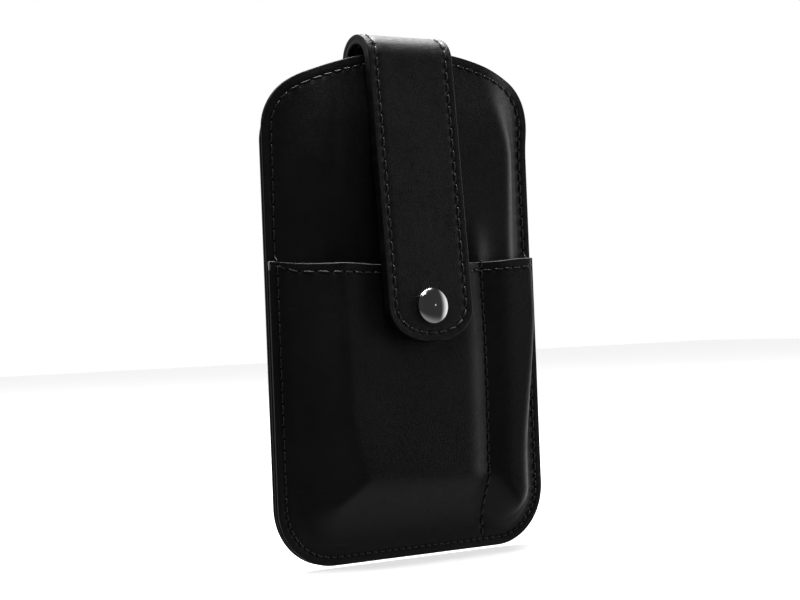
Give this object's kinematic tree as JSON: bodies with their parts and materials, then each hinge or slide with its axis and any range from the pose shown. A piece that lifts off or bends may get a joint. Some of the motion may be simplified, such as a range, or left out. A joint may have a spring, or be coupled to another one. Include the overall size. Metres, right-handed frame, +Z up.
{
  "type": "leather belt holster case",
  "caption": "Slim open-topped leather belt case with an arched mouth, a sewn front pocket with a pen slot, and an over-the-top strap that closes with a press stud.",
  "frame": {"origin": "middle of the belt passage behind the case: centred on the strap across, on the belt between the back panel and the loop, and halfway up the loop", "axes": "+Z up towards the mouth; -Y is the front, where the pocket and the press stud are; +X is to the right as seen from the front"},
  "size_m": [0.1114, 0.0327, 0.1824],
  "materials": {
    "leather_black": "satin black, fine grain, molded and lightly scuffed",
    "leather_strap": "satin black, smooth fine grain, burnished edges",
    "leather_lining": "matte dyed flesh side",
    "thread_black": "waxed twisted thread",
    "snap_chrome": "bright nickel plate",
    "spring_brass": "drawn spring wire"
  },
  "bodies": {
    "case": {"back_panel": "leather_black", "front_panel": "leather_black", "mouth_facing": "leather_lining", "pocket_panel": "leather_black", "strap_rear_outer": "leather_strap", "strap_rear_lining": "leather_lining", "side_and_bottom_thread": "thread_black", "mouth_thread": "thread_black", "pocket_edge_thread": "thread_black", "pocket_divider_thread": "thread_black", "loop_upper_thread": "thread_black", "loop_lower_thread": "thread_black", "snap_stud": "snap_chrome", "snap_post": "snap_chrome"},
    "crown_rear": {"strap_crown_rear_outer": "leather_strap", "strap_crown_rear_lining": "leather_lining"},
    "crown_top": {"strap_crown_top_outer": "leather_strap", "strap_crown_top_lining": "leather_lining"},
    "crown_front": {"strap_crown_front_outer": "leather_strap", "strap_crown_front_lining": "leather_lining"},
    "strap_front": {"strap_front_outer": "leather_strap", "strap_front_lining": "leather_lining", "strap_front_thread": "thread_black", "snap_cap": "snap_chrome", "snap_socket": "snap_chrome", "snap_spring": "spring_brass"}
  },
  "joints": [
    {"name": "strap_bend_rear", "type": "hinge", "parent": "case", "child": "crown_rear", "pos_m": [0, 0.0006, 0.0586], "axis": [-1, 0, 0], "range_deg": [0, 50]},
    {"name": "strap_bend_upper_rear", "type": "hinge", "parent": "crown_rear", "child": "crown_top", "pos_m": [0, -0.00361, 0.06611], "axis": [-1, 0, 0], "range_deg": [0, 50]},
    {"name": "strap_bend_upper_front", "type": "hinge", "parent": "crown_top", "child": "crown_front", "pos_m": [0, -0.0122, 0.06644], "axis": [-1, 0, 0], "range_deg": [0, 50]},
    {"name": "strap_bend_front", "type": "hinge", "parent": "crown_front", "child": "strap_front", "pos_m": [0, -0.01697, 0.05928], "axis": [-1, 0, 0], "range_deg": [0, 50]}
  ],
  "couplings": [
    {"joint": "strap_bend_upper_rear", "follows": "strap_bend_rear", "ratio": 1},
    {"joint": "strap_bend_upper_front", "follows": "strap_bend_rear", "ratio": 1},
    {"joint": "strap_bend_front", "follows": "strap_bend_rear", "ratio": 1}
  ]
}
